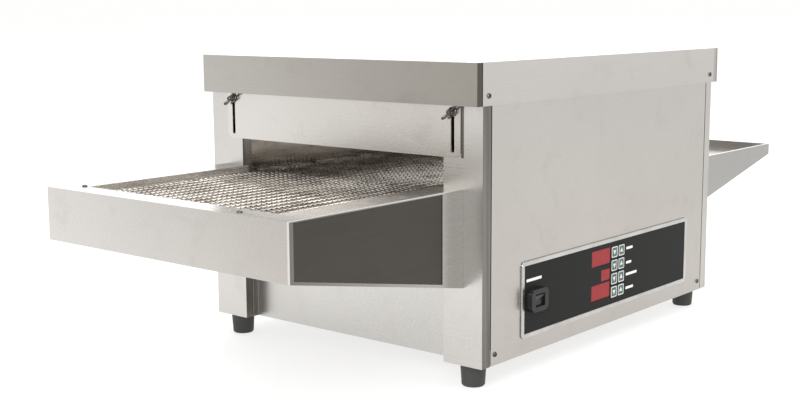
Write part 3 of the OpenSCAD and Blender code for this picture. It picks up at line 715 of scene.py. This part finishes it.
def wire_belt():
    """A flat-flex belt: each strand runs across in offset bays that hook the next strand.
    Its edges are looped."""
    lo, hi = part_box("conveyor_belt")
    outer = (hi.z - lo.z) / 2
    mean = outer - BELT_HALF_T
    zc, x0, x1 = (hi.z + lo.z) / 2, lo.x + outer, hi.x - outer
    run = x1 - x0
    total = 2 * run + 2 * math.pi * mean
    pitch = total / BELT_STRANDS
    half = (hi.y - lo.y) / 2 - BELT_SIDE
    bay = 2 * (half - BELT_EDGE) / BELT_BAYS

    def spot(s, y, h):
        """The point at distance s round the belt, with height h off its middle."""
        s %= total
        if s < run:
            return (x0 + s, y, zc + mean + h)
        s -= run
        if s < math.pi * mean:
            a = s / mean
            return (x1 + (mean + h) * math.sin(a), y, zc + (mean + h) * math.cos(a))
        s -= math.pi * mean
        if s < run:
            return (x1 - s, y, zc - mean - h)
        a = (s - run) / mean
        return (x0 - (mean + h) * math.sin(a), y, zc - (mean + h) * math.cos(a))

    def loop(y_edge, way):
        """The looped edge of a strand, as (offset along the belt, y, height)."""
        pts = [(pitch * 1.22, y_edge - way * BELT_EDGE * 1.25, 0.0006)]
        for k in range(LOOP_POINTS):
            a = math.pi * k / (LOOP_POINTS - 1)
            y = y_edge - way * (BELT_EDGE * 0.55 - BELT_EDGE * 0.55 * math.sin(a))
            pts.append((pitch * (0.62 + 0.60 * math.cos(a)), y, 0.0003 - 0.0007 * k / (LOOP_POINTS - 1)))
        return pts

    lines = []
    for i in range(BELT_STRANDS):
        s0 = i * pitch
        line = [spot(s0 + u, y, h) for u, y, h in loop(-half, -1)]
        for k in range(BELT_BAYS):
            y = -half + BELT_EDGE + k * bay
            u, h = (0.02 * pitch, -0.00035) if k % 2 == 0 else (1.10 * pitch, 0.00045)
            line += [spot(s0 + u, y + bay * 0.10, h), spot(s0 + u, y + bay * 0.90, h)]
        line += [spot(s0 + u, y, h) for u, y, h in reversed(loop(half, 1))]
        lines.append(line)
    shape = Shape()
    shape.tubes(lines, WIRE_R)
    o = mesh_object("wire_belt", shape, "belt", "casing")
    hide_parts("conveyor_belt")


# ---------- control panel marks ----------

MARK_BELOW, MARK_RISE, BORDER_RISE, ARROW_RISE = -0.00005, 0.00012, 0.00015, 0.00018
BAR_H, BAR_R = 0.0040, 0.0012
# a bar's distance from the keys, and from the top of the switch
KEY_BAR_GAP, SWITCH_BAR_GAP = 0.0075, 0.012
# the outline and the hole of a key's border: share of the key's width, and corner radius
KEY_BORDER = ((0.96, 0.0018), (0.80, 0.0012))
ARROW_HALF_W, ARROW_TIP, ARROW_BASE = 0.0042, 0.0042, 0.0026


def rounded(w, h, r, steps=5):
    """The outline of a rectangle with rounded corners, round the origin."""
    pts = []
    x, y = w / 2 - r, h / 2 - r
    for cx, cy, start in ((x, y, 0), (-x, y, 90), (-x, -y, 180), (x, -y, 270)):
        for k in range(steps + 1):
            a = math.radians(start + 90 * k / steps)
            pts.append((cx + r * math.cos(a), cy + r * math.sin(a)))
    return pts


def front_place(x, y, z):
    """Local X runs along the panel, local Y up, and local Z out of the panel towards the front."""
    return Matrix.Translation((x, y, z)) @ Matrix.Rotation(math.radians(90), 4, "X")


def key_marks(node):
    """The printed border and arrow of one key, as a thin raised layer."""
    lo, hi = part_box(node)
    place = front_place((lo.x + hi.x) / 2, lo.y, (lo.z + hi.z) / 2)
    shape = Shape()
    size = hi.x - lo.x
    outside, inside = (rounded(size * share, size * share, r) for share, r in KEY_BORDER)
    n = len(outside)
    verts = []
    for outline in (outside, inside):
        verts += [(x, y, z) for z in (MARK_BELOW, BORDER_RISE) for x, y in outline]
    faces = []
    for i in range(n):
        j = (i + 1) % n
        faces += [(i, j, n + j, n + i), (2 * n + j, 2 * n + i, 3 * n + i, 3 * n + j),
                  (n + i, n + j, 3 * n + j, 3 * n + i), (j, i, 2 * n + i, 2 * n + j)]
    shape.add(verts, faces, place)
    way = 1 if node.endswith("up") else -1
    arrow = [(-ARROW_HALF_W, -ARROW_BASE * way), (ARROW_HALF_W, -ARROW_BASE * way), (0.0, ARROW_TIP * way)]
    if way < 0:
        arrow.reverse()
    shape.plate(arrow, MARK_BELOW, ARROW_RISE, place)
    mesh_object(node + "_marks", shape, "key_mark", node, smooth=False)


def legends():
    """Plain bars where the words stand beside the keys and above the switch."""
    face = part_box("control_fascia")[0].y
    shape = Shape()

    def bar(length, x, z):
        shape.plate(rounded(length, BAR_H, BAR_R, 3), MARK_BELOW, MARK_RISE, front_place(x, face, z))

    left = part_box("key_1_up")[1].x + KEY_BAR_GAP
    for i, length, drop in ((1, 0.019, 0.0), (2, 0.016, 0.002), (3, 0.033, 0.0), (4, 0.023, 0.001)):
        key_lo, key_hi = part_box(f"key_{i}_down")
        bar(length, left + length / 2, (key_lo.z + key_hi.z) / 2 - drop)
    switch_lo, switch_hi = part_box("switch_housing")
    bar(0.037, (switch_lo.x + switch_hi.x) / 2, switch_hi.z + SWITCH_BAR_GAP)
    mesh_object("fascia_legend_bars", shape, "legend", "casing", smooth=False)


screws()
studs()
for n in [k for k in nodes if k.endswith("wing_nut")]:
    wing_nut(n)
wire_belt()
for n in [k for k in nodes if k.startswith("key_")]:
    key_marks(n)
legends()


# ---------- floor and light ----------

FLOOR_HALF, FLOOR_DROP = 30, 0.0002


def floor():
    """Pale lit paper, so that only a faint shadow lies under the machine."""
    s = Shader("floor_paper", Roughness=0.85, Emission_Strength=0.70)
    tone = s.spread(s.noise(0.9, 2.0), 0.3, 0.7)
    s.put("Base Color", s.mix(tone, (0.325, 0.325, 0.324), (0.345, 0.345, 0.344)))
    s.put("Emission Color", s.mix(tone, (0.98, 0.98, 0.975), (1.0, 1.0, 0.995)))
    mesh = bpy.data.meshes.new("floor")
    r = FLOOR_HALF
    mesh.from_pydata([(-r, -r, 0), (r, -r, 0), (r, r, 0), (-r, r, 0)], [], [(0, 1, 2, 3)])
    mesh.materials.append(s.material)
    o = bpy.data.objects.new("floor", mesh)
    o.location.z = -FLOOR_DROP
    scene.collection.objects.link(o)


def light(name, place, aim, size, power):
    """A white area light at a place, pointed at another."""
    data = bpy.data.lights.new(name, "AREA")
    data.shape, data.size, data.size_y = "RECTANGLE", size[0], size[1]
    data.energy = power
    o = bpy.data.objects.new(name, data)
    turn = (Vector(aim) - Vector(place)).to_track_quat("-Z", "Y")
    o.matrix_world = Matrix.Translation(place) @ turn.to_matrix().to_4x4()
    o.visible_camera = False
    scene.collection.objects.link(o)


def studio():
    """An even white room with a few soft lights."""
    world = bpy.data.worlds.new("studio")
    world.use_nodes = True
    background = world.node_tree.nodes["Background"]
    background.inputs["Color"].default_value = (1.0, 0.995, 0.985, 1)
    background.inputs["Strength"].default_value = 1.0
    scene.world = world
    floor()
    light("overhead", (0.2, 0.0, 2.6), (0.1, 0, 0), (2.4, 2.0), 42)
    light("key", (-2.6, -1.6, 1.9), (0, 0, 0.2), (1.4, 1.4), 26)
    light("mouth", (-1.5, -0.75, 0.75), (-0.25, 0.15, 0.27), (0.6, 0.3), 6)
    light("tunnel", (-0.02, -0.02, 0.36), (-0.02, 0.06, 0.26), (0.45, 0.30), 0.45)
    light("back", (2.4, 2.6, 1.5), (0, 0, 0.3), (4.5, 3.0), 50)


studio()
